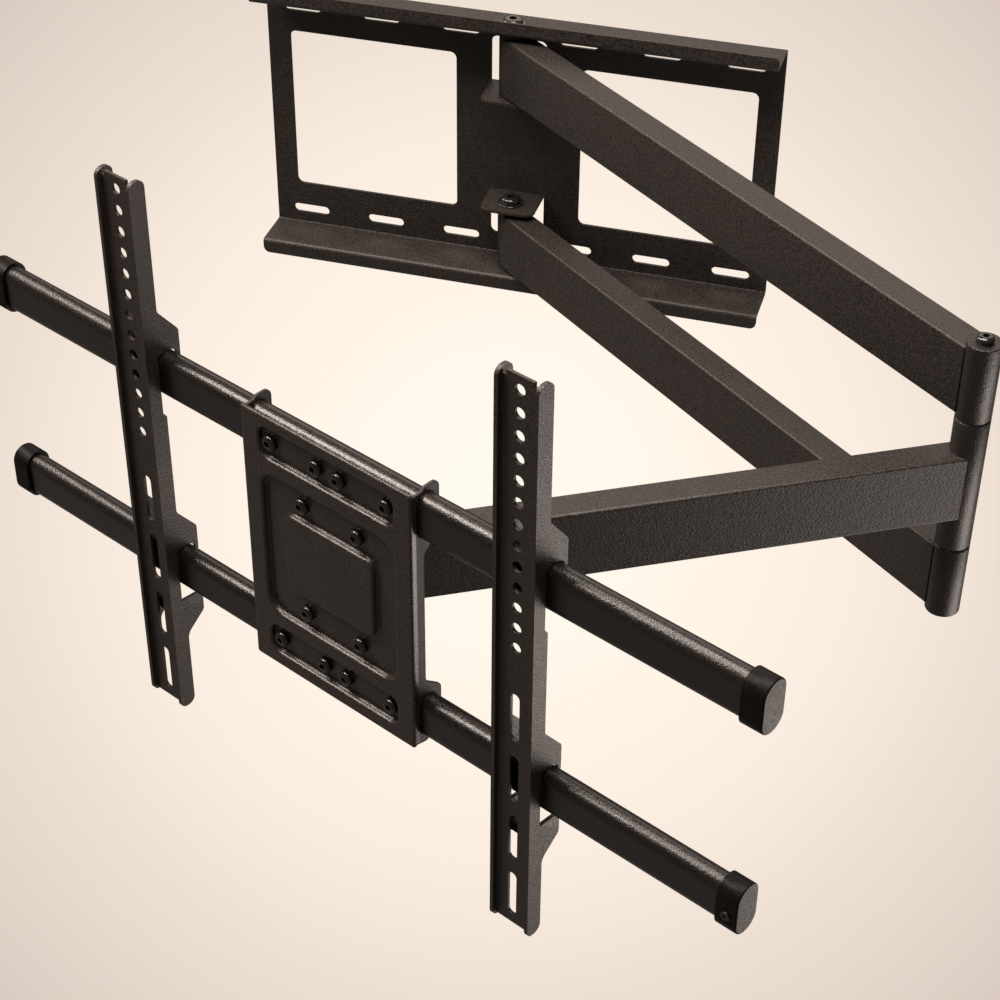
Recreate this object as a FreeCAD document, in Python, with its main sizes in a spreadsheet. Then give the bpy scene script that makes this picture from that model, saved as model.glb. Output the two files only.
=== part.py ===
import FreeCAD, Part
import math
import os

doc = FreeCAD.newDocument("swivel_wall_mount")
V = FreeCAD.Vector

# round holes and long slots in each screen bracket
HOLES = 13
LONG_SLOTS = 4

# driving dimensions, millimetres and degrees
SIZES = [
    # wall plate
    ("wall_w", 478.5), ("wall_h", 246), ("sheet", 2.5), ("fold_r", 3.5),
    ("top_flange", 45), ("top_lip", 11), ("bottom_flange", 46), ("bottom_lip", 11.5), ("lip_corner", 6),
    ("window_in", 58.6), ("side_frame", 21.25), ("window_half", 78.5), ("window_r", 6),
    ("slot_side", 34.25), ("slot_middle", 129.7), ("slot_inner", 54.7),
    ("slot_rim", 17), ("slot_rim_top", 20), ("slot_len", 35.5), ("slot_w", 8.6),
    ("ear_w", 51.3), ("ear_d", 43.5), ("ear_r", 9), ("ear_slack", 0.5), ("ear_gap", 3.3),
    ("pivot_y", 24), ("pivot_r", 5), ("pivot_head_r", 9), ("pivot_head", 5),
    ("washer_r", 12), ("washer_t", 1.5), ("nut_r", 9), ("nut_h", 8),
    # arms and elbow
    ("rear_angle", 40.48), ("front_angle", 150.21), ("head_yaw", 25.2),
    ("rear_len", 596), ("front_len", 431.3), ("arm_drop", 2),
    ("tube_h", 56.5), ("tube_w", 24.5), ("tube_wall", 2), ("tube_r", 2.5),
    ("arm_gap", 4.5), ("wall_barrel_r", 12), ("tube_start", 1.5), ("weld_cut", 2),
    ("elbow_r", 13.2), ("elbow_edge", 1), ("elbow_rise", 4), ("seam_gap", 2),
    ("rear_end", 7), ("front_end", 5),
    ("pin_r", 7), ("pin_chamfer", 0.75), ("ring_t", 1.2),
    ("elbow_head_r", 6.5), ("elbow_head", 5), ("tap_r", 3), ("tap_len", 12), ("cap_r", 9), ("cap_h", 2),
    # fits
    ("fit", 0.05), ("play", 0.1), ("slide_gap", 0.4), ("loose", 0.4),
    # swivel head and tilt
    ("head_r", 15), ("swivel_r", 6), ("swivel_head_r", 10), ("swivel_head", 5), ("swivel_nut_r", 10),
    ("yoke_t", 4), ("yoke_rim", 2), ("yoke_gap", 3), ("yoke_span", 30),
    ("lug_r", 10), ("lug_root", 16), ("lug_gap", 1),
    ("tilt_r", 4), ("tilt_t", 3), ("tilt_root", 22), ("tilt_rim", 12.6),
    ("tilt_head_r", 8), ("tilt_head", 4.5),
    # face plate
    ("plate_y", 52), ("plate_w", 155.3), ("plate_z", 17.5), ("plate_margin", 21.75), ("plate_skirt", 2),
    ("plate_r", 2.5), ("plate_t", 2), ("press", 4), ("press_run", 1.2), ("crest_r", 1.4),
    ("recess_w", 124), ("recess_h", 26), ("recess_r", 9), ("recess_land", 11.75), ("middle_r", 14),
    ("pad_w", 82), ("pad_up", 1.5), ("pad_gap", 14.5), ("pad_r", 7),
    ("bolt_wide", 53), ("bolt_near", 10.5), ("bolt_mid_u", 25.5), ("bolt_inset", 14),
    ("bolt_r", 3), ("bolt_len", 9), ("dome_r", 5.9), ("dome_h", 4.6),
    ("cheek_d", 12), ("cheek_r", 6), ("lobe_back", 4), ("lobe_brow", 2.5), ("lobe_rise", 4.8),
    ("lobe_lean", 1.5), ("lobe_fall", 13.5), ("lobe_slope", 12), ("lobe_r", 6), ("brow_r", 3),
    ("tail", 6), ("tail_r", 4),
    # rails
    ("rail_z", 85.25), ("rail_half", 350), ("rail_h", 35), ("rail_d", 17), ("rail_wall", 1.5),
    ("lower_slip", 3.5),
    ("cap_t", 2.6), ("cap_len", 16.5), ("cap_edge", 1.2),
    ("cap_screw_r", 2), ("cap_screw_head_r", 3.6), ("cap_screw_head", 1.2), ("cap_screw_low", 3),
    # screen brackets
    ("bracket_left", 182.6), ("bracket_right", 168.4), ("bracket_w", 34.4), ("bracket_t", 3),
    ("bracket_face", 5),
    ("web_inset", 3.5), ("web_t", 2.2), ("relief", 3.5), ("bracket_top", 239.5), ("ear_rise", 0.4),
    ("ear_fall", 2.6), ("tip_r", 6), ("hole_r", 4), ("hole_pitch", 16.2), ("hole_edge", 9.75),
    ("long_len", 40), ("long_w", 7.5), ("long_pitch", 53.9), ("row_gap", 58.8), ("slot_end", 8.1),
    ("arm_d", 13.6), ("hook_t", 2.4), ("hook_up", 13), ("hook_slope", 21), ("hook_r", 5),
    ("lip_drop", 8.6), ("lip_r", 1), ("seat_r", 7), ("notch_low", 12), ("notch_r", 1.5), ("step", 4),
    ("foot_drop", 1.5), ("foot_h", 17.5), ("foot_slope", 14), ("foot_r", 5), ("foot_tip_r", 2),
    ("foot_sweep", 10),
    ("block_drop", 18), ("block_h", 7), ("block_d", 9), ("lock_r", 3), ("lock_head_r", 5), ("lock_head", 4),
]

# places that follow from the driving dimensions
DERIVED = [
    ("window_out", "wall_w / 2 - side_frame"), ("slot_outer", "wall_w / 2 - slot_side"),
    ("slot_high", "wall_h / 2 - slot_rim_top"), ("slot_low", "slot_rim - wall_h / 2"),
    ("arm_z", "wall_h / 2 - sheet - tube_h / 2 - arm_gap"), ("ear_z", "arm_z - tube_h / 2 - ear_gap"),
    ("ear_open", "ear_d + ear_slack"),
    ("elbow_seam", "arm_z - tube_h / 2 - seam_gap"), ("elbow_top", "arm_z + tube_h / 2 + elbow_rise"),
    ("yoke_half", "head_r + yoke_rim"), ("yoke_web", "head_r + yoke_gap"),
    ("rail_y", "plate_y - press - plate_t"), ("tilt_y", "rail_y - tilt_t - lug_r - lug_gap"),
    ("plate_half", "rail_z + plate_margin"), ("middle_half", "rail_z - recess_h / 2 - recess_land"),
    ("bolt_mid_z", "middle_half - bolt_inset"), ("pad_half", "bolt_mid_z - pad_gap"),
    ("lobe_d", "press + plate_t + rail_d + lobe_back"),
    ("hole_top", "bracket_top - hole_edge"),
    ("long_top", "hole_top - %d * hole_pitch - row_gap" % (HOLES - 1)),
    ("bracket_low", "%d * long_pitch + long_len / 2 + slot_end - long_top" % (LONG_SLOTS - 1)),
]

sheet = doc.addObject("Spreadsheet::Sheet", "dims")
for row, (alias, value) in enumerate(SIZES, start=1):
    sheet.set("A%d" % row, alias)
    sheet.set("B%d" % row, str(value))
    sheet.setAlias("B%d" % row, alias)
for row, (alias, formula) in enumerate(DERIVED, start=1):
    sheet.set("C%d" % row, alias)
    sheet.set("D%d" % row, "=" + formula)
    sheet.setAlias("D%d" % row, alias)
doc.recompute()


def dim(alias):
    return float(sheet.get(alias))


def bind(obj, **sizes):
    for prop, formula in sizes.items():
        obj.setExpression(prop, formula)
    return obj


def move(obj, x="0", y="0", z="0"):
    for axis, formula in (("x", x), ("y", y), ("z", z)):
        obj.setExpression("Placement.Base." + axis, str(formula))
    return obj


def box(name, length, width, height, x, y, z):
    obj = doc.addObject("Part::Box", name)
    bind(obj, Length=length, Width=width, Height=height)
    return move(obj, x, y, z)


def rod(name, radius, height, x="0", y="0", z="0", turn=None):
    obj = doc.addObject("Part::Cylinder", name)
    if turn:
        obj.Placement.Rotation = turn
    bind(obj, Radius=radius, Height=height)
    return move(obj, x, y, z)


def fuse(name, shapes):
    obj = doc.addObject("Part::MultiFuse", name)
    obj.Shapes = shapes
    obj.Refine = True
    return obj


def cut(name, base, tools):
    obj = doc.addObject("Part::Cut", name)
    obj.Base = base
    obj.Tool = tools[0] if len(tools) == 1 else fuse(name + "_tools", tools)
    obj.Refine = True
    return obj


def group(name, solids):
    obj = doc.addObject("Part::Compound", name)
    obj.Links = solids
    return obj


# planes for sketches: normal to X, normal to Y (drawn as x, z) and normal to Z
SIDE = FreeCAD.Rotation(V(0, 1, 0), V(0, 0, 1), V(1, 0, 0), "ZXY")
FACE = FreeCAD.Rotation(V(1, 0, 0), V(0, 0, 1), V(0, -1, 0), "ZXY")
PLAN = FreeCAD.Rotation()
ALONG_X = FreeCAD.Rotation(V(0, 1, 0), 90)
ALONG_Y = FreeCAD.Rotation(V(1, 0, 0), 90)
FLIP = FreeCAD.Rotation(V(1, 0, 0), 180)

# share of a corner's room that a full round may take
FULL = 0.999


def outline(name, plane, corners):
    # closed line through (x, y, corner radius) points, corners as arcs
    sketch = doc.addObject("Sketcher::SketchObject", name)
    sketch.Placement = FreeCAD.Placement(V(), plane)
    count = len(corners)
    legs = []
    for k, (x, y, radius) in enumerate(corners):
        here = V(x, y, 0)
        before = V(*corners[k - 1][:2], 0) - here
        after = V(*corners[(k + 1) % count][:2], 0) - here
        before.normalize()
        after.normalize()
        if radius <= 0:
            legs.append((here, None, here))
            continue
        half = before.getAngle(after) / 2
        reach = radius / math.tan(half)
        middle = before + after
        middle.normalize()
        crown = here + middle * (radius / math.sin(half) - radius)
        legs.append((here + before * reach, crown, here + after * reach))
    for k, (start, crown, end) in enumerate(legs):
        if crown:
            sketch.addGeometry(Part.Arc(start, crown, end))
        following = legs[(k + 1) % count][0]
        if (following - end).Length > 1e-4:
            sketch.addGeometry(Part.LineSegment(end, following))
    return sketch


def extrude(name, sketch, length, x="0", y="0", z="0"):
    obj = doc.addObject("Part::Extrusion", name)
    obj.Base = sketch
    obj.DirMode = "Normal"
    obj.Solid = True
    obj.setExpression("LengthFwd", length)
    return move(obj, x, y, z)


def rounded(x0, x1, y0, y1, radius):
    return [(x0, y0, radius), (x1, y0, radius), (x1, y1, radius), (x0, y1, radius)]


def edges(obj, pick):
    # numbers of the edges whose middle point and direction satisfy pick
    found = []
    for number, edge in enumerate(obj.Shape.Edges, start=1):
        middle = edge.valueAt((edge.FirstParameter + edge.LastParameter) / 2)
        if pick(middle, edge):
            found.append(number)
    return found


def soften(kind, name, obj, radius, pick):
    doc.recompute()
    result = doc.addObject("Part::" + kind, name)
    result.Base = obj
    result.Edges = [(number, radius, radius) for number in edges(obj, pick)]
    return result


def on_z(height, width=0):
    # level edges at a height that are at least so wide
    def pick(middle, edge):
        bounds = edge.BoundBox
        return abs(middle.z - height) < 1e-3 and bounds.ZLength < 1e-3 and bounds.XLength > width
    return pick


def button_screw(name, head_r, head, shank_r, length):
    # dome head standing on z = 0, shank below it, six-sided socket
    rise = dim(head)
    crown = rod(name + "_crown", "dims." + head_r, "dims." + head)
    dome = soften("Fillet", name + "_dome", crown, 0.62 * rise, on_z(rise))
    shank = rod(name + "_shank", "dims." + shank_r, length, z="-(" + length + ")")
    socket = doc.addObject("Part::Prism", name + "_socket")
    socket.Polygon = 6
    bind(socket, Circumradius="dims.%s * 0.42" % head_r, Height="dims." + head)
    move(socket, z="dims.%s * 0.45" % head)
    return cut(name, fuse(name + "_blank", [dome, shank]), [socket])


def hex_nut(name, radius, height, bore):
    blank = doc.addObject("Part::Prism", name + "_blank")
    blank.Polygon = 6
    bind(blank, Circumradius=radius, Height=height)
    return cut(name, blank, [rod(name + "_bore", bore, height)])


def ring(name, radius, bore, height, x="0", y="0", z="0"):
    disc = rod(name + "_disc", radius, height, x, y, z)
    hole = rod(name + "_hole", bore, height, x, y, z)
    return cut(name, disc, [hole])


kept = []


def keep(obj, label, frame=None, turn=None):
    # name a finished piece and set it in its frame
    doc.recompute()
    obj.Label = label
    place = frame or FreeCAD.Placement()
    if turn:
        place = place.multiply(turn)
    obj.Placement = place.multiply(obj.Placement)
    kept.append(obj)
    return obj


def shift(x=0, y=0, z=0, spin=None):
    return FreeCAD.Placement(V(x, y, z), spin or FreeCAD.Rotation())


def yawed(origin, degrees):
    return FreeCAD.Placement(origin, FreeCAD.Rotation(V(0, 0, 1), -degrees))


# frames of the rear arm, the front arm and the head at rest
REAR = yawed(V(0, -dim("pivot_y"), 0), dim("rear_angle"))
ARM = REAR.multiply(shift(z=-dim("arm_drop")))
FRONT = yawed(ARM.multVec(V(dim("rear_len"), 0, 0)), dim("front_angle"))
HEAD = yawed(FRONT.multVec(V(dim("front_len"), 0, 0)), dim("head_yaw"))


# section of the folded wall plate, drawn as y, z
def wall_section():
    top = dim("wall_h") / 2
    gauge = dim("sheet")
    bend = dim("fold_r")
    inside = bend - gauge
    deep_top, deep_low = dim("top_flange"), dim("bottom_flange")
    high, low = top + dim("top_lip"), -top - dim("bottom_lip")
    return [
        (0, -top, bend), (0, top, bend), (-deep_top + gauge, top, inside), (-deep_top + gauge, high, 0),
        (-deep_top, high, 0), (-deep_top, top - gauge, bend), (-gauge, top - gauge, inside),
        (-gauge, -top + gauge, inside), (-deep_low, -top + gauge, bend), (-deep_low, low, 0),
        (-deep_low + gauge, low, 0), (-deep_low + gauge, -top, inside),
    ]


# cut-out through the wall plate, drawn as x, z
def wall_cutout(name, corners):
    return extrude(name, outline(name + "_line", FACE, corners), "3 * dims.sheet", y="dims.sheet")


# wall plate: folded sheet with two windows, bent ears and two rows of slots
def wall_plate():
    gauge = dim("sheet")
    high, low = dim("wall_h") / 2 + dim("top_lip"), -dim("wall_h") / 2 - dim("bottom_lip")
    section = outline("wall_section", SIDE, wall_section())
    folded = extrude("wall_folded", section, "dims.wall_w", "-dims.wall_w / 2")

    def lip_end(middle, edge):
        return edge.BoundBox.YLength > gauge * 0.9 and edge.BoundBox.ZLength < 1e-3 and (
            abs(middle.z - high) < 1e-3 or abs(middle.z - low) < 1e-3)

    pressed = soften("Fillet", "wall_pressed", folded, dim("lip_corner"), lip_end)
    half = dim("ear_w") / 2
    ear_r, window_r = dim("ear_r"), dim("window_r")
    ear = [(-half, -dim("ear_d"), ear_r), (half, -dim("ear_d"), ear_r), (half, 0, 0), (-half, 0, 0)]
    ears = []
    for side, level in (("upper", "dims.ear_z - dims.sheet"), ("lower", "-dims.ear_z")):
        ears.append(extrude(side + "_ear", outline(side + "_ear_line", PLAN, ear), "dims.sheet", z=level))
    root, brow = dim("ear_z"), dim("ear_z") + dim("ear_open")
    opening = [(-half, root, 0), (half, root, 0), (half, brow, window_r), (-half, brow, window_r)]
    tools = []
    for side, sign in (("upper", 1), ("lower", -1)):
        tools.append(wall_cutout(side + "_ear_opening", [(x, sign * z, radius) for x, z, radius in opening]))
        near, far = sorted((sign * dim("window_in"), sign * dim("window_out")))
        window = rounded(near, far, -dim("window_half"), dim("window_half"), window_r)
        tools.append(wall_cutout("window_%d" % (sign + 1), window))
        tools.append(rod(side + "_pivot_hole", "dims.pivot_r + dims.fit", "dims.wall_h / 2",
                         y="-dims.pivot_y", z="0" if sign > 0 else "-dims.wall_h / 2"))
    half_len, half_w = dim("slot_len") / 2, dim("slot_w") / 2
    for column in ("slot_outer", "slot_middle", "slot_inner"):
        for row in ("slot_high", "slot_low"):
            for sign in (1, -1):
                x, z = sign * dim(column), dim(row)
                slot = rounded(x - half_len, x + half_len, z - half_w, z + half_w, half_w * FULL)
                tools.append(wall_cutout("%s_%s_%d" % (column, row, sign + 1), slot))
    keep(cut("wall_plate", fuse("wall_blank", [pressed] + ears), tools), "wall_plate")


# pivot bolts with washers and nuts, set through the flanges and ears
def pivot_hardware():
    pivot = -dim("pivot_y")
    shank = "dims.wall_h / 2 - dims.ear_z + 2 * dims.sheet + dims.washer_t + dims.nut_h"
    seats = (("upper", dim("wall_h") / 2, dim("ear_z") - dim("sheet")),
             ("lower", -dim("ear_z") + dim("sheet"), -dim("wall_h") / 2))
    for side, head_z, nut_z in seats:
        bolt = button_screw(side + "_pivot_bolt", "pivot_head_r", "pivot_head", "pivot_r", shank)
        keep(bolt, side + "_pivot_bolt", turn=shift(y=pivot, z=head_z + dim("washer_t")))
        disc = ring(side + "_pivot_washer", "dims.washer_r", "dims.pivot_r + dims.fit", "dims.washer_t")
        keep(disc, side + "_pivot_washer", turn=shift(y=pivot, z=head_z))
        nut = hex_nut(side + "_pivot_nut", "dims.nut_r", "dims.nut_h", "dims.pivot_r + dims.fit")
        keep(nut, side + "_pivot_nut", turn=shift(y=pivot, z=nut_z - dim("nut_h")))


# hollow tube along X, coped to the barrels at its ends
def tube(name, start, length, barrels):
    half_w, half_h = dim("tube_w") / 2, dim("tube_h") / 2
    gauge, corner = dim("tube_wall"), dim("tube_r")
    outer_line = rounded(-half_w, half_w, -half_h, half_h, corner)
    inner_line = rounded(gauge - half_w, half_w - gauge, gauge - half_h, half_h - gauge, corner - gauge)
    outer = extrude(name + "_outer", outline(name + "_line", SIDE, outer_line), length, start)
    tools = [extrude(name + "_inner", outline(name + "_hollow", SIDE, inner_line), length, start)]
    for end, (radius, place) in enumerate(barrels):
        tools.append(rod("%s_cope_%d" % (name, end), radius, "2 * dims.tube_h", place, z="-dims.tube_h"))
    return cut(name, outer, tools)


# rear arm: two tubes with barrels at both ends
def rear_arm():
    for side, sign in (("upper", 1), ("lower", -1)):
        turn = shift(spin=None if sign > 0 else FLIP)
        beam = tube(side + "_rear_tube", "dims.tube_start", "dims.rear_len - dims.tube_start - dims.rear_end",
                    (("dims.wall_barrel_r", "0"), ("dims.elbow_r", "dims.rear_len")))
        keep(beam, side + "_rear_tube", ARM, shift(z=sign * dim("arm_z")))
        bore = "dims.pivot_r + dims.fit"
        hub = ring(side + "_wall_barrel", "dims.wall_barrel_r", bore,
                   "dims.wall_h / 2 - dims.sheet - dims.ear_z - 2 * dims.play - 2 * dims.ring_t",
                   z="dims.ear_z + dims.play + dims.ring_t")
        keep(hub, side + "_wall_barrel", REAR, turn)
        rings = []
        for end, level in (("low", "dims.ear_z + dims.play"),
                           ("high", "dims.wall_h / 2 - dims.sheet - dims.play - dims.ring_t")):
            key = "%s_wall_ring_%s" % (side, end)
            rings.append(ring(key, "dims.wall_barrel_r", bore, "dims.ring_t", z=level))
        keep(group(side + "_wall_rings", rings), side + "_wall_rings", REAR, turn)
        knuckle = ring(side + "_knuckle", "dims.elbow_r", "dims.pin_r + dims.fit",
                       "dims.elbow_top - dims.elbow_seam", "dims.rear_len", z="dims.elbow_seam")
        barrel = soften("Fillet", side + "_elbow_barrel", knuckle, dim("elbow_edge"),
                        on_z(dim("elbow_top"), 1.5 * dim("elbow_r")))
        keep(barrel, side + "_elbow_barrel", ARM, turn)


# elbow pin tapped for the screw on top, with a cap below
def elbow_pin():
    bar = rod("elbow_pin_bar", "dims.pin_r", "2 * dims.elbow_top", "dims.rear_len", z="-dims.elbow_top")
    blunt = soften("Chamfer", "elbow_pin_blunt", bar, dim("pin_chamfer"), on_z(-dim("elbow_top")))
    tapped = rod("elbow_tapped", "dims.tap_r + dims.fit", "dims.tap_len", "dims.rear_len",
                 z="dims.elbow_top - dims.tap_len")
    keep(cut("elbow_pin", blunt, [tapped]), "elbow_pin", ARM)
    screw = button_screw("elbow_screw", "elbow_head_r", "elbow_head", "tap_r", "dims.tap_len")
    keep(screw, "elbow_screw", ARM, shift(dim("rear_len"), 0, dim("elbow_top")))
    disc = rod("elbow_cap_disc", "dims.cap_r", "dims.cap_h", "dims.rear_len",
               z="-dims.elbow_top - dims.cap_h")
    lowest = on_z(-dim("elbow_top") - dim("cap_h"))
    keep(soften("Fillet", "elbow_cap", disc, dim("cap_h") / 2, lowest), "elbow_cap", ARM)


# front arm: tube, middle elbow barrel, head barrel and nylon rings
def front_arm():
    beam = tube("front_tube", "dims.front_end",
                "dims.front_len - dims.front_end - dims.head_r + dims.weld_cut",
                (("dims.elbow_r", "0"), ("dims.head_r", "dims.front_len")))
    keep(beam, "front_tube", FRONT)
    half = "dims.elbow_seam - dims.play - dims.ring_t"
    bore = "dims.pin_r + dims.fit"
    keep(ring("elbow_middle_barrel", "dims.elbow_r", bore, "2 * (" + half + ")", z="-(" + half + ")"),
         "elbow_middle_barrel", FRONT)
    rings = [ring("elbow_ring_high", "dims.elbow_r", bore, "dims.ring_t", z=half),
             ring("elbow_ring_low", "dims.elbow_r", bore, "dims.ring_t", z="dims.play - dims.elbow_seam")]
    keep(group("elbow_rings", rings), "elbow_rings", FRONT)
    bore = "dims.swivel_r + dims.fit"
    keep(ring("head_barrel", "dims.head_r", bore, "dims.tube_h", "dims.front_len", z="-dims.tube_h / 2"),
         "head_barrel", FRONT)
    rings = []
    for end, level in (("high", "dims.tube_h / 2"), ("low", "-dims.tube_h / 2 - dims.ring_t")):
        rings.append(ring("head_ring_" + end, "dims.head_r", bore, "dims.ring_t", "dims.front_len", z=level))
    keep(group("head_rings", rings), "head_rings", FRONT)


# yoke: folded round the head barrel, with lugs for the tilt bolt
def yoke():
    half, web, gauge = dim("yoke_half"), dim("yoke_web"), dim("yoke_t")
    round_r = half * FULL
    wing = [(half, half, round_r), (half, -web - gauge, 0), (-half, -web - gauge, 0), (-half, half, round_r)]
    level = "dims.tube_h / 2 + dims.ring_t + dims.play"
    below = "-(" + level + ") - dims.yoke_t"
    parts = [
        extrude("yoke_top", outline("yoke_top_line", PLAN, wing), "dims.yoke_t", z=level),
        extrude("yoke_low", outline("yoke_low_line", PLAN, wing), "dims.yoke_t", z=below),
        box("yoke_wall", "2 * dims.yoke_span", "dims.yoke_t", "2 * (" + level + " + dims.yoke_t)",
            "-dims.yoke_span", "-dims.yoke_web - dims.yoke_t", below),
    ]
    reach, radius, root = dim("tilt_y"), dim("lug_r"), dim("lug_root")
    lug = [(-web, -root, 0), (-web, root, 0), (-reach - radius, radius, radius * FULL),
           (-reach - radius, -radius, radius * FULL)]
    for side, place in (("right", "dims.yoke_span - dims.yoke_t"), ("left", "-dims.yoke_span")):
        parts.append(extrude(side + "_lug", outline(side + "_lug_line", SIDE, lug), "dims.yoke_t", place))
    holes = [
        rod("yoke_swivel_hole", "dims.swivel_r + dims.fit", "2 * dims.tube_h", z="-dims.tube_h"),
        rod("yoke_tilt_hole", "dims.tilt_r + dims.fit", "3 * dims.yoke_span", "-1.5 * dims.yoke_span",
            "-dims.tilt_y", turn=ALONG_X),
    ]
    keep(cut("yoke", fuse("yoke_blank", parts), holes), "yoke", HEAD)


# swivel bolt through the head barrel and tilt bolt through the lugs, with their nuts
def head_hardware():
    seat = dim("tube_h") / 2 + dim("ring_t") + dim("play") + dim("yoke_t")
    length = "dims.tube_h + 2 * (dims.ring_t + dims.play + dims.yoke_t) + dims.nut_h"
    keep(button_screw("swivel_bolt", "swivel_head_r", "swivel_head", "swivel_r", length),
         "swivel_bolt", HEAD, shift(z=seat))
    keep(hex_nut("swivel_nut", "dims.swivel_nut_r", "dims.nut_h", "dims.swivel_r + dims.fit"),
         "swivel_nut", HEAD, shift(z=-seat - dim("nut_h")))
    out = dim("yoke_span") + dim("tilt_t") + 2 * dim("loose")
    axle = "2 * (dims.yoke_span + dims.tilt_t + 2 * dims.loose) + dims.nut_h"
    keep(button_screw("tilt_bolt", "tilt_head_r", "tilt_head", "tilt_r", axle),
         "tilt_bolt", HEAD, shift(out, -dim("tilt_y"), 0, ALONG_X))
    keep(hex_nut("tilt_nut", "dims.tilt_head_r", "dims.nut_h", "dims.tilt_r + dims.fit"),
         "tilt_nut", HEAD, shift(-out - dim("nut_h"), -dim("tilt_y"), 0, ALONG_X))


# places of the twelve face bolts: four on each rail, four round the pad
def bolt_places():
    places = []
    middle, rail = dim("plate_z"), dim("rail_z")
    for across in (-dim("bolt_wide"), -dim("bolt_near"), dim("bolt_near"), dim("bolt_wide")):
        places += [(across, middle + rail), (across, middle - rail)]
    for across in (-dim("bolt_mid_u"), dim("bolt_mid_u")):
        places += [(across, middle + dim("bolt_mid_z")), (across, middle - dim("bolt_mid_z"))]
    return places


BOLTS = bolt_places()


def bolt_holes(name):
    holes = []
    for number, (across, up) in enumerate(BOLTS):
        holes.append(rod("%s_%d" % (name, number), "dims.bolt_r + dims.fit",
                         "dims.bolt_len + 3 * dims.plate_t",
                         across, "dims.bolt_len - dims.rail_y", up, ALONG_Y))
    return holes


# rounded block running back from a depth behind the plate's front, walls leaning by the press run
def pressing(name, half_w, half_h, level, corner, depth, lean):
    line = outline(name + "_line", FACE, rounded(-half_w, half_w, level - half_h, level + half_h, corner))
    block = extrude(name, line, "dims.press", y=str(depth - dim("plate_y")))
    block.Reversed = True
    block.TaperAngle = lean * math.degrees(math.atan2(dim("press_run"), dim("press")))
    return block


# side wall of the face plate, drawn as y, z: deep lobes round the rails, shallow between
def cheek_line():
    front, gauge = -dim("plate_y"), dim("plate_t")
    middle, half_h, corner = dim("plate_z"), dim("plate_half"), dim("plate_r")
    foot = middle - half_h - dim("plate_skirt") + corner
    back, shallow = front + dim("lobe_d"), front + dim("cheek_d")
    upper, lower = middle + dim("rail_z"), middle - dim("rail_z")
    over, under = dim("rail_h") / 2 + dim("lobe_rise"), dim("rail_h") / 2 + dim("lobe_fall")
    bottom = lower - dim("rail_h") / 2
    brow = upper + dim("rail_h") / 2 + dim("lobe_brow")
    cheek_r, lobe_r, slope = dim("cheek_r"), dim("lobe_r"), dim("lobe_slope")
    return [
        (front + gauge, foot, 0), (front + gauge, middle + half_h - corner, 0), (shallow, brow, 0),
        (shallow + dim("lobe_lean"), upper + over, dim("brow_r")), (back, upper + over, lobe_r),
        (back, upper - under + slope, lobe_r), (shallow, upper - under, cheek_r),
        (shallow, lower + under, cheek_r), (back, lower + under - slope, lobe_r),
        (back, bottom, lobe_r), (shallow, bottom - dim("tail"), dim("tail_r")),
    ]


# face plate: pressed sheet with three recesses, a raised pad and two cheeks round the rails
def face_plate():
    gauge, press, run = dim("plate_t"), dim("press"), dim("press_run")
    half_w, half_h, middle = dim("plate_w") / 2, dim("plate_half"), dim("plate_z")
    flat_line = outline("plate_line", FACE, rounded(-half_w, half_w, middle - half_h - dim("plate_skirt"),
                                                    middle + half_h, dim("plate_r")))
    flat = extrude("plate_flat", flat_line, "dims.plate_t", y="dims.plate_t - dims.plate_y")
    # growth of an outline that keeps the leaning walls one sheet thick
    skin = gauge * (math.hypot(press, run) - run) / press
    wide, low_h = dim("recess_w") / 2, dim("recess_h") / 2
    recesses = (("top", low_h, middle + dim("rail_z"), dim("recess_r")),
                ("low", low_h, middle - dim("rail_z"), dim("recess_r")),
                ("mid", dim("middle_half"), middle, dim("middle_r")))
    backs = []
    hollows = []
    for name, tall, level, corner in recesses:
        backs.append(pressing(name + "_back", wide + skin, tall + skin, level, corner + skin, gauge, -1))
        hollows.append(pressing(name + "_recess", wide, tall, level, corner, 0, -1))
    shell = cut("plate_shell", fuse("plate_blank", [flat] + backs), hollows)
    pad_w, pad_h, pad_z, pad_r = dim("pad_w") / 2, dim("pad_half"), middle + dim("pad_up"), dim("pad_r")
    pad = pressing("pad", pad_w, pad_h, pad_z, pad_r, 0, 1)
    inside = pressing("pad_inside", pad_w - skin, pad_h - skin, pad_z, pad_r - skin, gauge, 1)
    parts = [shell, pad]
    for side, place in (("right", "dims.plate_w / 2 - dims.plate_t"), ("left", "-dims.plate_w / 2")):
        wall_line = outline(side + "_cheek_line", SIDE, cheek_line())
        parts.append(extrude(side + "_cheek", wall_line, "dims.plate_t", place))
    holes = [inside] + bolt_holes("plate_bolt_hole")
    for side, sign in (("upper", 1), ("lower", -1)):
        level = middle + sign * dim("rail_z")
        holes.append(rail_bar(side + "_rail_way", level, dim("fit"), "2 * dims.plate_w"))
    drilled = cut("plate_drilled", fuse("plate_solid", parts), holes)
    front = -dim("plate_y")
    crest = soften("Fillet", "face_plate", drilled, dim("crest_r"),
                   lambda mid, edge: abs(mid.y - front) < 1e-3 and edge.BoundBox.YLength < 1e-3)
    keep(crest, "face_plate", HEAD)


# flat-oval bar along X at a rail's place, grown by a margin
def rail_bar(name, level, margin, length, slip="0"):
    near = -dim("rail_y")
    half = dim("rail_h") / 2 + margin
    line = rounded(near - margin, near + dim("rail_d") + margin, level - half, level + half,
                   (dim("rail_d") / 2 + margin) * FULL)
    return extrude(name, outline(name + "_line", SIDE, line), length, "-(" + length + ") / 2 - " + slip)


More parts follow.
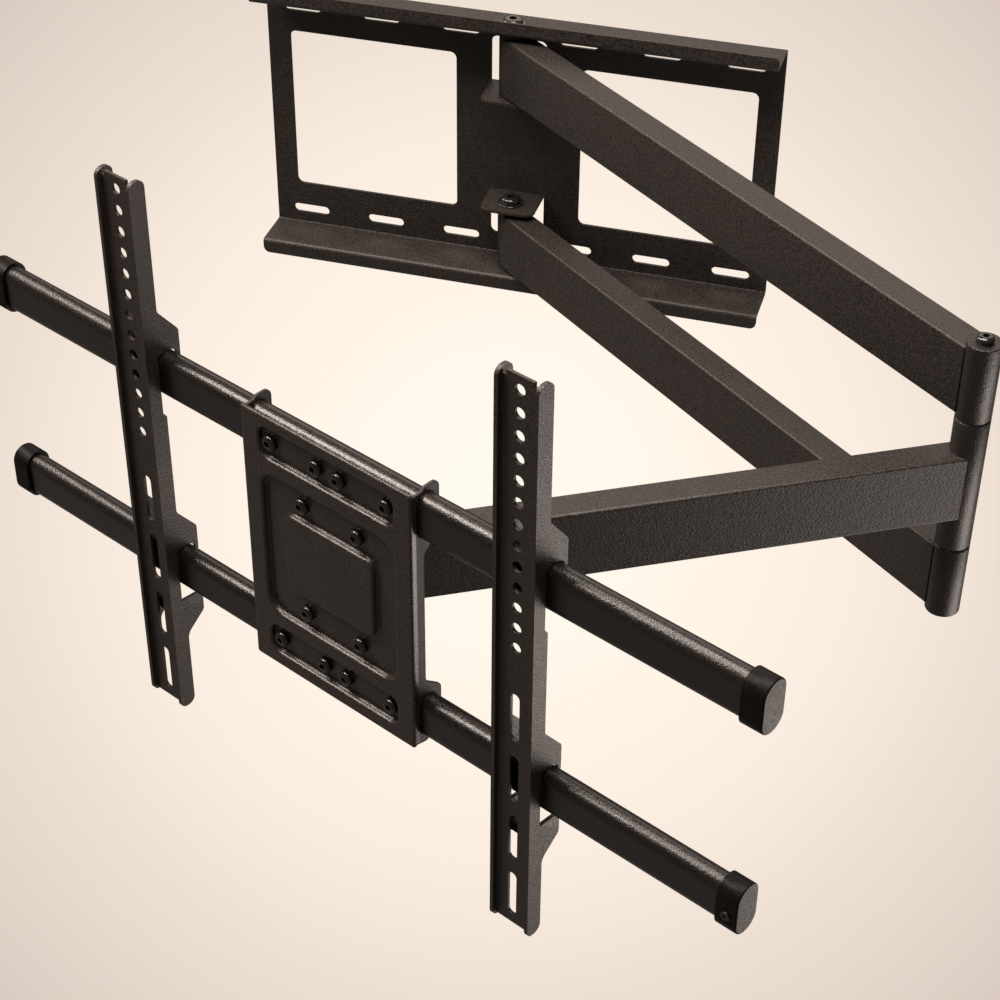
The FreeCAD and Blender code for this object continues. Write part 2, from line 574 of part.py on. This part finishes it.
# tilt bracket: channel bolted behind the face plate, lugs outside the yoke
def tilt_bracket():
    near = -dim("rail_y")
    edge = "dims.yoke_span + dims.loose"
    half = "(dims.bolt_mid_z + dims.tilt_rim)"
    web = box("tilt_web", "2 * (" + edge + " + dims.tilt_t)", "dims.tilt_t", "2 * " + half,
              "-(" + edge + ") - dims.tilt_t", "-dims.rail_y", "dims.plate_z - " + half)
    reach, radius, root = -dim("tilt_y"), dim("lug_r"), dim("tilt_root")
    lug = [(near, -root, 0), (near, root, 0), (reach + radius, radius, radius * FULL),
           (reach + radius, -radius, radius * FULL)]
    parts = [web]
    for side, place in (("right", edge), ("left", "-(" + edge + ") - dims.tilt_t")):
        lug_line = outline(side + "_tilt_line", SIDE, lug)
        parts.append(extrude(side + "_tilt_lug", lug_line, "dims.tilt_t", place))
    pivot = rod("tilt_pivot_hole", "dims.tilt_r + dims.fit", "3 * dims.yoke_span", "-1.5 * dims.yoke_span",
                "-dims.tilt_y", turn=ALONG_X)
    holes = [pivot] + bolt_holes("tilt_bolt_hole")
    keep(cut("tilt_bracket", fuse("tilt_blank", parts), holes), "tilt_bracket", HEAD)


# twelve dome bolts through the recess floors
def face_bolts():
    floor = dim("press") - dim("plate_y")
    bolts = []
    for number, (across, up) in enumerate(BOLTS):
        bolt = button_screw("face_bolt_%d" % number, "dome_r", "dome_h", "bolt_r", "dims.bolt_len")
        doc.recompute()
        bolt.Placement = shift(across, floor, up, ALONG_Y)
        bolts.append(bolt)
    keep(group("face_bolts", bolts), "face_bolts", HEAD)


# cap closing one end of a rail, its outer edge rounded
def end_cap(name, level, hand, middle, holes):
    bar = rail_bar(name + "_bar", level, dim("cap_t"), "dims.cap_len")
    end = hand * dim("cap_len") / 2
    outer = soften("Fillet", name + "_round", bar, dim("cap_edge"),
                   lambda mid, edge: abs(mid.x - end) < 1e-3 and edge.BoundBox.XLength < 1e-3)
    pocket = rail_bar(name + "_pocket", level, dim("fit"), "dims.cap_len")
    move(pocket, "-dims.cap_len / 2 - %d * dims.cap_t" % hand)
    keep(cut(name, outer, [pocket] + holes), name, HEAD, shift(middle))


# rails: flat-oval tubes with end caps, the lower one set a little to the left and screwed to its right cap
def rails():
    face = -dim("rail_y")
    reach = dim("rail_half") - dim("cap_len") / 2
    low = dim("plate_z") - dim("rail_z") - dim("cap_screw_low")
    way = ("dims.cap_screw_r + dims.fit", "dims.cap_t + 2 * dims.rail_wall")
    depth = "2 * dims.rail_wall - dims.rail_y"
    length = "2 * (dims.rail_half - dims.cap_t)"
    for side, sign, slip in (("upper", 1, "0"), ("lower", -1, "dims.lower_slip")):
        level = dim("plate_z") + sign * dim("rail_z")
        offset = dim("lower_slip") if sign < 0 else 0
        bar = rail_bar(side + "_rail_bar", level, 0, length, slip)
        holes = [rail_bar(side + "_rail_hollow", level, -dim("rail_wall"), length, slip)]
        holes += bolt_holes(side + "_rail_bolt_hole")
        seats = []
        if sign < 0:
            holes.append(rod("cap_screw_tapped", *way, reach - offset, depth, low, ALONG_Y))
            seats.append(rod("cap_screw_seat", *way, 0, depth, low, ALONG_Y))
        keep(cut(side + "_rail", bar, holes), side + "_rail", HEAD)
        end_cap(side + "_left_end_cap", level, -1, -reach - offset, [])
        end_cap(side + "_right_end_cap", level, 1, reach - offset, seats)
    screw = button_screw("cap_screws", "cap_screw_head_r", "cap_screw_head", "cap_screw_r",
                         "dims.cap_t + 2 * dims.rail_wall")
    keep(screw, "cap_screws", HEAD, shift(reach - dim("lower_slip"), face - dim("cap_t"), low, ALONG_Y))


# side wall of a screen bracket, drawn as y, z: hooks over both rails, a foot under the lower one
def blade_line():
    front = -dim("plate_y") - dim("bracket_face")
    middle, tip = dim("plate_z"), dim("tip_r")
    top = middle + dim("bracket_top") + dim("ear_rise")
    low = middle - dim("bracket_low") - dim("ear_fall")
    gap, rail_front = dim("slide_gap"), -dim("rail_y")
    depth, notch = front + dim("arm_d"), rail_front - gap
    behind = rail_front + dim("rail_d") + gap
    back = behind + dim("hook_t")
    hook_r, lip_r, notch_r = dim("hook_r"), dim("lip_r"), dim("notch_r")
    line = [(front, low, tip), (front, top, tip), (depth, top, tip)]
    for sign in (1, -1):
        roof = middle + sign * dim("rail_z") + dim("rail_h") / 2 + gap
        sill = roof - dim("rail_h") - 2 * gap - dim("notch_low")
        crest, lip = roof + dim("hook_up"), roof - dim("lip_drop")
        line += [
            (depth, crest + dim("hook_slope"), hook_r), (back, crest, hook_r), (back, lip, lip_r),
            (behind, lip, lip_r), (behind, roof, dim("seat_r")),
            (notch, roof, notch_r), (notch, sill, notch_r),
        ]
        if sign > 0:
            line.append((depth, sill - dim("step"), notch_r))
    foot = sill - dim("foot_drop")
    heel = foot - dim("foot_h")
    line += [(back, foot, dim("foot_tip_r")), (back, heel, dim("foot_r")),
             (depth, heel - dim("foot_slope"), dim("foot_sweep")), (depth, low, tip)]
    return line, sill


# front web of a screen bracket, drawn as x, z, with bend reliefs at its top corners
def web_line():
    half = dim("bracket_w") / 2
    inner = half - dim("bracket_t") - dim("relief")
    top, low = dim("plate_z") + dim("bracket_top"), dim("plate_z") - dim("bracket_low")
    shoulder = top - dim("relief")
    return [(-half, low, 0), (half, low, 0), (half, shoulder, 0), (inner, shoulder, 0), (inner, top, 0),
            (-inner, top, 0), (-inner, shoulder, 0), (-half, shoulder, 0)]


# screen bracket: channel with hole row, long slots and hooked sides, and its lock screw
def screen_bracket(hand, place):
    side, sill = blade_line()
    blades = []
    for name, edge in (("left", "-dims.bracket_w / 2"), ("right", "dims.bracket_w / 2 - dims.bracket_t")):
        key = "%s_blade_%s" % (hand, name)
        blades.append(extrude(key, outline(key + "_line", SIDE, side), "dims.bracket_t", edge))
    web_back = "dims.web_inset + dims.web_t - dims.plate_y - dims.bracket_face"
    web = extrude(hand + "_web", outline(hand + "_web_line", FACE, web_line()), "dims.web_t", y=web_back)
    tools = []
    for number in range(HOLES):
        level = "dims.plate_z + dims.hole_top - %d * dims.hole_pitch" % number
        tools.append(rod("%s_hole_%d" % (hand, number), "dims.hole_r", "3 * dims.web_t",
                         0, web_back + " + dims.web_t", level, ALONG_Y))
    half_len, half_w = dim("long_len") / 2, dim("long_w") / 2
    for number in range(LONG_SLOTS):
        level = dim("plate_z") + dim("long_top") - number * dim("long_pitch")
        key = "%s_long_%d" % (hand, number)
        slot = rounded(-half_w, half_w, level - half_len, level + half_len, half_w * FULL)
        slot_line = outline(key + "_line", FACE, slot)
        tools.append(extrude(key, slot_line, "3 * dims.web_t", y=web_back + " + dims.web_t"))
    frame = HEAD.multiply(shift(place))
    keep(cut(hand + "_bracket", fuse(hand + "_channel", [web] + blades), tools), hand + "_bracket", frame)
    lock_y = dim("rail_d") / 2 - dim("rail_y")
    seat = sill - dim("block_drop") - dim("block_h")
    block = box(hand + "_block", "dims.bracket_w - 2 * dims.bracket_t", "dims.block_d", "dims.block_h",
                "dims.bracket_t - dims.bracket_w / 2", "%f - dims.block_d / 2" % lock_y, str(seat))
    bore = rod(hand + "_block_bore", "dims.lock_r + dims.fit", "dims.block_h", y=str(lock_y), z=str(seat))
    keep(cut(hand + "_lock_block", block, [bore]), hand + "_lock_block", frame)
    screw = button_screw(hand + "_lock_screw", "lock_head_r", "lock_head", "lock_r",
                         "dims.notch_low + dims.block_drop + dims.block_h")
    keep(screw, hand + "_lock_screw", frame, shift(0, lock_y, seat, FLIP))


wall_plate()
pivot_hardware()
rear_arm()
elbow_pin()
front_arm()
yoke()
head_hardware()
face_plate()
tilt_bracket()
face_bolts()
rails()
screen_bracket("left", -dim("bracket_left"))
screen_bracket("right", dim("bracket_right"))
doc.recompute()

for obj in doc.Objects:
    if "Invalid" in obj.State or "Error" in obj.State:
        raise RuntimeError("%s did not build" % obj.Name)
os.makedirs("parts", exist_ok=True)
for obj in kept:
    if obj.Shape.isNull() or not obj.Shape.isValid():
        raise RuntimeError("%s has no valid shape" % obj.Label)
    obj.Shape.exportStep("parts/%s.step" % obj.Label)
print("kept", len(kept), "pieces")
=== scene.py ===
import bpy
import math
from mathutils import Matrix, Vector

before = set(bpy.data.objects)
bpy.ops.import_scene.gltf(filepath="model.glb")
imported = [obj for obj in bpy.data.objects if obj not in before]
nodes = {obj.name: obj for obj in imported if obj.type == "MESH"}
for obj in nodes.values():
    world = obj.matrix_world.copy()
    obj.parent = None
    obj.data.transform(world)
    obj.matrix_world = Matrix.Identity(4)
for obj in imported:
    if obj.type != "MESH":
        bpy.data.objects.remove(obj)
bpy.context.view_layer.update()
scene = bpy.context.scene
scene.view_settings.view_transform = "Standard"
print("frame loaded:", len(nodes), "nodes")


def hexColour(code):
    # sRGB hex to linear
    def channel(value):
        value /= 255
        return value / 12.92 if value <= 0.04045 else ((value + 0.055) / 1.055) ** 2.4
    return tuple(channel(int(code[k:k + 2], 16)) for k in (1, 3, 5)) + (1.0,)


def addNode(tree, kind, settings=None, **links):
    # one node with its settings, then its inputs, by name or _number, as values or as sockets to link
    node = tree.nodes.new(kind)
    for name, value in (settings or {}).items():
        setattr(node, name, value)
    for name, value in links.items():
        socket = node.inputs[int(name[1:])] if name[0] == "_" else node.inputs[name.replace("_", " ")]
        if isinstance(value, bpy.types.NodeSocket):
            tree.links.new(value, socket)
        else:
            socket.default_value = value
    return node


def perMetre(millimetres):
    # pattern scale that repeats every so many millimetres
    return 1000.0 / millimetres


def newMaterial(name):
    material = bpy.data.materials.new(name)
    material.use_nodes = True
    tree = material.node_tree
    tree.nodes.clear()
    shader = addNode(tree, "ShaderNodeBsdfPrincipled")
    addNode(tree, "ShaderNodeOutputMaterial", Surface=shader.outputs["BSDF"])
    place = addNode(tree, "ShaderNodeTexCoord").outputs["Object"]
    return material, tree, shader, place


# textured powder coat on steel: an orange-peel grain that breaks highlights into specks
# grain, fine and patch are in mm; the grain is drawn coarser than the real one, so that it shows
powderCoat = dict(dark="#131110", pale="#352f2c", toneFrom=0.35, toneTo=0.75,
                  grain=2.0, grainDetail=3.0, grainRough=0.55, fine=0.9, fineShare=0.45,
                  patch=38, patchDetail=2.0, patchShare=0.1, bump=0.8, depth=0.0005,
                  roughFrom=0.3, roughTo=0.7, roughLow=0.42, roughHigh=0.56, ior=1.5, specular=0.5)


def powderCoatMaterial(name, finish):
    material, tree, shader, place = newMaterial(name)
    grain = addNode(tree, "ShaderNodeTexNoise", Vector=place, Scale=perMetre(finish["grain"]),
                    Detail=finish["grainDetail"], Roughness=finish["grainRough"])
    fine = addNode(tree, "ShaderNodeTexVoronoi", {"feature": "SMOOTH_F1"}, Vector=place,
                   Scale=perMetre(finish["fine"]))
    patch = addNode(tree, "ShaderNodeTexNoise", Vector=place, Scale=perMetre(finish["patch"]),
                    Detail=finish["patchDetail"])
    height = addNode(tree, "ShaderNodeMath", {"operation": "MULTIPLY_ADD"}, _0=fine.outputs["Distance"],
                     _1=finish["fineShare"], _2=grain.outputs["Fac"])
    bump = addNode(tree, "ShaderNodeBump", Height=height.outputs[0], Strength=finish["bump"],
                   Distance=finish["depth"])
    speck = addNode(tree, "ShaderNodeMath", {"operation": "MULTIPLY_ADD"}, _0=patch.outputs["Fac"],
                    _1=finish["patchShare"], _2=grain.outputs["Fac"])
    tone = addNode(tree, "ShaderNodeMapRange", Value=speck.outputs[0], From_Min=finish["toneFrom"],
                   From_Max=finish["toneTo"])
    colour = addNode(tree, "ShaderNodeMix", {"data_type": "RGBA"}, Factor=tone.outputs["Result"],
                     _6=hexColour(finish["dark"]), _7=hexColour(finish["pale"]))
    rough = addNode(tree, "ShaderNodeMapRange", Value=grain.outputs["Fac"], From_Min=finish["roughFrom"],
                    From_Max=finish["roughTo"], To_Min=finish["roughLow"], To_Max=finish["roughHigh"])
    if "crest" in finish:
        crest = addNode(tree, "ShaderNodeBevel", {"samples": finish["crestSamples"]}, Radius=finish["crest"])
        tree.links.new(crest.outputs["Normal"], bump.inputs["Normal"])
        forward = Vector(finish["forward"])
        front = max(corner.co.dot(forward) for corner in nodes["face_plate"].data.vertices)
        depth = addNode(tree, "ShaderNodeVectorMath", {"operation": "DOT_PRODUCT"}, _0=place, _1=forward)
        cheek = addNode(tree, "ShaderNodeMapRange", Value=depth.outputs["Value"],
                        From_Min=front - finish["cheekTo"], From_Max=front - finish["cheekFrom"],
                        To_Min=finish["cheekRough"], To_Max=0.0)
        rough = addNode(tree, "ShaderNodeMath", {"operation": "ADD"}, _0=rough.outputs["Result"],
                        _1=cheek.outputs["Result"])
    tree.links.new(colour.outputs[2], shader.inputs["Base Color"])
    tree.links.new(rough.outputs[0], shader.inputs["Roughness"])
    tree.links.new(bump.outputs["Normal"], shader.inputs["Normal"])
    shader.inputs["IOR"].default_value = finish["ior"]
    shader.inputs["Specular IOR Level"].default_value = finish["specular"]
    return material


# the same coat sprayed thinner and smoother on the rails, so their rounded tops shine
railCoat = dict(powderCoat, dark="#0c0a09", pale="#1f1b19", grain=1.4, bump=0.35,
                roughLow=0.24, roughHigh=0.32, specular=0.6)
# the screen brackets: the same coat with a finer, paler grain
plateCoat = dict(powderCoat, dark="#161312", pale="#443d3a", grain=1.3, bump=0.7,
                 roughLow=0.36, roughHigh=0.48)
# the face plate's sheet bends over a soft round at its pressed crests, which shine
# its cheeks, which begin a few mm behind its front, stay rough; lengths in metres
pressCoat = dict(plateCoat, bump=0.3, roughLow=0.2, roughHigh=0.28, crest=0.0025, crestSamples=6,
                 forward=(-0.4258, -0.9048, 0), cheekFrom=0.0043, cheekTo=0.0055, cheekRough=0.36)
# the coat draws thin and glossy over sharp edges
edgeCoat = dict(powderCoat, grain=1.3, bump=0.15, roughLow=0.2, roughHigh=0.28, specular=0.6)
# turned barrels: the coat lies smoother on them, so that their bright line is narrow
barrelCoat = dict(powderCoat, pale="#262120", grain=1.6, roughLow=0.3, roughHigh=0.4)
# moulded polypropylene caps: satin, duller than the coat
capPlastic = dict(powderCoat, dark="#0e0c0b", pale="#151211", grain=3.0, bump=0.3,
                  roughLow=0.38, roughHigh=0.48, specular=0.12)
# turned nylon rings: dull black with faint mottling
nylonBlack = dict(powderCoat, dark="#121010", pale="#1a1717", grain=3.5, bump=0.1,
                  roughLow=0.55, roughHigh=0.65, specular=0.35)
# black oxide screws under a film of oil: dark and glossy, with small soft highlights
screwBlack = dict(powderCoat, dark="#141211", pale="#1c1918", grain=4.0, bump=0.06,
                  roughLow=0.16, roughHigh=0.26, specular=0.75)

coat = powderCoatMaterial("powder_coated_steel_textured", powderCoat)
rail = powderCoatMaterial("powder_coated_steel_smooth", railCoat)
plate = powderCoatMaterial("powder_coated_steel_pressed", plateCoat)
press = powderCoatMaterial("powder_coated_steel_crested", pressCoat)
edge = powderCoatMaterial("powder_coated_steel_edge", edgeCoat)
barrel = powderCoatMaterial("powder_coated_steel_turned", barrelCoat)
cap = powderCoatMaterial("moulded_polypropylene_satin", capPlastic)
nylon = powderCoatMaterial("turned_nylon_matt", nylonBlack)
screw = powderCoatMaterial("black_oxide_steel_oiled", screwBlack)


def finishFor(name):
    if name.endswith("_rail"):
        return rail
    if name == "face_plate":
        return press
    if name in ("left_bracket", "right_bracket"):
        return plate
    if name.endswith("_barrel"):
        return barrel
    if name.endswith("_end_cap"):
        return cap
    if name.endswith("_rings"):
        return nylon
    if name.endswith(("bolt", "bolts", "nut", "screw", "screws", "washer", "pin")):
        return screw
    return coat


# folded and sawn edges carry a small round under the coat, which catches the light
# the rails have none: they are round already, and their ends are in caps
edgeRound = dict(width=0.0007, segments=2, angle=35, merge=0.00002)
for name, node in nodes.items():
    finish = finishFor(name)
    if not node.material_slots:
        node.data.materials.append(None)
    for slot in node.material_slots:
        slot.material = finish
    if finish is rail:
        continue
    weld = node.modifiers.new("merge", "WELD")
    weld.merge_threshold = edgeRound["merge"]
    bevel = node.modifiers.new("edge", "BEVEL")
    bevel.width = edgeRound["width"]
    bevel.segments = edgeRound["segments"]
    bevel.limit_method = "ANGLE"
    bevel.angle_limit = math.radians(edgeRound["angle"])
    bevel.use_clamp_overlap = True
    bevel.harden_normals = True
    if finish in (coat, plate, barrel):
        node.data.materials.append(edge)
        bevel.material = len(node.material_slots) - 1
print("finishes set")


# camera: angles in degrees, aim, distance and reach in metres, lens and sensor in mm
viewPoint = dict(azimuth=15.85, elevation=36.89, roll=0.58, aim=(-0.0141, -0.0008, -0.4166),
                 distance=2.2936, reach=50, lens=80.2, sensor=36)


def viewAxis(view):
    # the way back to the camera, and its place
    turn, rise = math.radians(view["azimuth"]), math.radians(view["elevation"])
    back = Vector((math.sin(turn) * math.cos(rise), -math.cos(turn) * math.cos(rise), math.sin(rise)))
    return back, Vector(view["aim"]) + back * view["distance"]


def photoCamera(view):
    turn, roll = math.radians(view["azimuth"]), math.radians(view["roll"])
    back, spot = viewAxis(view)
    right = Vector((math.cos(turn), math.sin(turn), 0))
    up = back.cross(right)
    right, up = (right * math.cos(roll) + up * math.sin(roll),
                 up * math.cos(roll) - right * math.sin(roll))
    data = bpy.data.cameras.new("photo_view")
    data.lens = view["lens"]
    data.sensor_width = view["sensor"]
    data.sensor_fit = "HORIZONTAL"
    data.clip_end = view["reach"]
    camera = bpy.data.objects.new("photo_view", data)
    scene.collection.objects.link(camera)
    camera.matrix_world = Matrix.Translation(spot) @ Matrix((right, up, back)).transposed().to_4x4()
    scene.camera = camera


photoCamera(viewPoint)
print("camera set")

# pale paper floor far under the mount, with a painted round pool of light that glows for the camera, dimmer
# in the gloss and the bounce
# each stop of the pool is a share of its widest angle from the photograph's view, and a colour
paperFloor = dict(height=-1.25, size=14, bounce="#4a433d", rough=0.9, gloss=0.25, widest=0.05,
                  pool=((0.0, "#fffaee"), (0.1, "#fff4e6"), (0.25, "#fbede0"), (0.49, "#eddfd2"),
                        (0.94, "#dacbc0")))


def studioFloor(paper):
    bpy.ops.object.select_all(action="DESELECT")
    bpy.ops.mesh.primitive_plane_add(size=paper["size"], location=(0, 0, paper["height"]))
    floor = bpy.context.object
    floor.name = "studio_floor"
    bpy.ops.object.transform_apply(location=True)
    material, tree, shader, place = newMaterial("seamless_paper_cream_painted_pool")
    back, lamp = viewAxis(viewPoint)
    reach = addNode(tree, "ShaderNodeVectorMath", {"operation": "SUBTRACT"}, _0=place, _1=lamp)
    beam = addNode(tree, "ShaderNodeVectorMath", {"operation": "NORMALIZE"}, _0=reach.outputs[0])
    along = addNode(tree, "ShaderNodeVectorMath", {"operation": "DOT_PRODUCT"}, _0=beam.outputs[0], _1=-back)
    away = addNode(tree, "ShaderNodeMapRange", Value=along.outputs["Value"], From_Min=1.0,
                   From_Max=1.0 - paper["widest"])
    # the painted pool of light: a glowing colour, palest where the camera looks and darker outwards
    ramp = addNode(tree, "ShaderNodeValToRGB", Fac=away.outputs["Result"])
    stops = ramp.color_ramp.elements
    while len(stops) < len(paper["pool"]):
        stops.new(0.5)  # anywhere, as each stop is placed below
    for stop, (position, code) in zip(stops, paper["pool"]):
        stop.position = position
        stop.color = hexColour(code)
    glow = addNode(tree, "ShaderNodeEmission", Color=ramp.outputs["Color"])
    shader.inputs["Base Color"].default_value = hexColour(paper["bounce"])
    shader.inputs["Roughness"].default_value = paper["rough"]
    seen = addNode(tree, "ShaderNodeLightPath")
    shown = addNode(tree, "ShaderNodeMath", {"operation": "MULTIPLY_ADD"}, _0=seen.outputs["Is Glossy Ray"],
                    _1=paper["gloss"], _2=seen.outputs["Is Camera Ray"])
    mixed = addNode(tree, "ShaderNodeMixShader", _0=shown.outputs[0], _1=shader.outputs[0],
                    _2=glow.outputs[0])
    output = next(node for node in tree.nodes if node.type == "OUTPUT_MATERIAL")
    tree.links.new(mixed.outputs[0], output.inputs["Surface"])
    floor.data.materials.append(material)


studioFloor(paperFloor)
print("floor laid")

# soft boxes: place, aim and size in metres
softBoxes = {
    # left and over: the bright line along the rails
    "box_left_over": dict(place=(-1.1, -0.73, 1.5), aim=(0.05, -0.6, 0), size=(0.6, 0.6), watts=31,
                          colour="#fff0e4"),
    # overhead: the even light on lips, lugs and tube tops
    "box_overhead": dict(place=(0.15, -0.6, 1.7), aim=(0.15, -0.35, 0), size=(1.0, 1.0), watts=46,
                         colour="#fff0e4"),
    # behind and over: the sheen on faces that look up
    "box_back_over": dict(place=(0.15, 1.2, 1.05), aim=(0.2, -0.4, 0), size=(2.2, 1.0), watts=9,
                          colour="#ffefe4"),
    # left, a strip: the thin bright line along the tubes' upper edges
    "strip_left": dict(place=(-1.5, 0.12, 0.72), aim=(0.2, -0.3, 0), size=(0.35, 0.9), watts=14,
                       colour="#fff0e4"),
    # right and low: the sheen on faces and barrels that look right
    "box_right_low": dict(place=(1.05, -0.5, -0.5), aim=(0.35, -0.55, 0.05), size=(0.6, 0.6), watts=5.2,
                          colour="#fff0e6"),
}


def softBox(name, box):
    light = bpy.data.lights.new(name, "AREA")
    light.shape = "RECTANGLE"
    light.size, light.size_y = box["size"]
    light.energy = box["watts"]
    light.color = hexColour(box["colour"])[:3]
    lamp = bpy.data.objects.new(name, light)
    scene.collection.objects.link(lamp)
    lamp.location = box["place"]
    lamp.rotation_euler = (Vector(box["aim"]) - Vector(box["place"])).to_track_quat("-Z", "Y").to_euler()


for name, box in softBoxes.items():
    softBox(name, box)

# dim fill from all round, and the far paper's colour where the camera looks past the floor
skyFill = dict(colour="#fff3e6", strength=0.1, backdrop="#dacbc0")


def studioSky(fill):
    world = bpy.data.worlds.new("studio_fill")
    scene.world = world
    world.use_nodes = True
    tree = world.node_tree
    tree.nodes.clear()
    dim = addNode(tree, "ShaderNodeBackground", Color=hexColour(fill["colour"]), Strength=fill["strength"])
    paper = addNode(tree, "ShaderNodeBackground", Color=hexColour(fill["backdrop"]))
    seen = addNode(tree, "ShaderNodeLightPath")
    mixed = addNode(tree, "ShaderNodeMixShader", _0=seen.outputs["Is Camera Ray"], _1=dim.outputs[0],
                    _2=paper.outputs[0])
    addNode(tree, "ShaderNodeOutputWorld", Surface=mixed.outputs[0])


studioSky(skyFill)
print("lights set")
